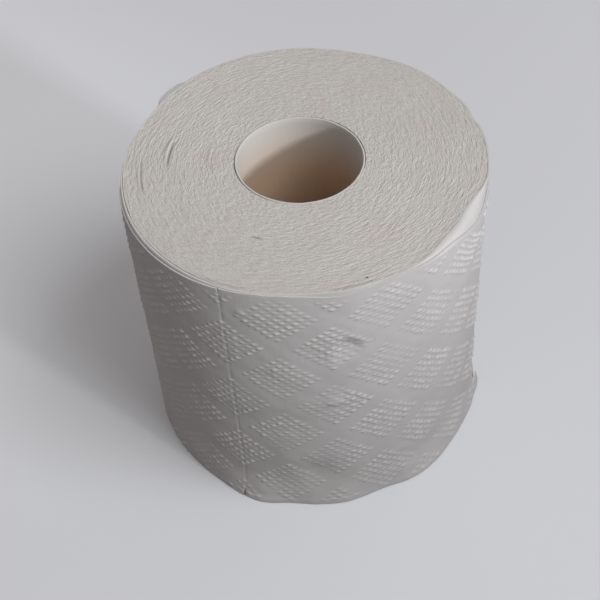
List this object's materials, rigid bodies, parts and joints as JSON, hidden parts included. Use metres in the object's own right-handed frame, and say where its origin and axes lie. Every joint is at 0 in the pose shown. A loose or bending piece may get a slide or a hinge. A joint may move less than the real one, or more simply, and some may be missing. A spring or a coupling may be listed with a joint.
{
  "type": "toilet paper roll",
  "caption": "Roll of embossed two-ply toilet tissue, wound on a cardboard core, with a free tail and loose outer wraps.",
  "frame": {"origin": "on the core's axis, at the end face that the roll stands on", "axes": "+Z along the core's axis, upwards; the front, which shows the first perforation line, faces -Y; the free tail ends a little in front of +X"},
  "size_m": [0.1105, 0.1095, 0.1],
  "materials": {
    "tissue": "matt, soft, embossed",
    "core_board": "matt, uncoated"
  },
  "bodies": {
    "root": {"paper_roll": "tissue", "core_tube": "core_board"}
  },
  "joints": []
}
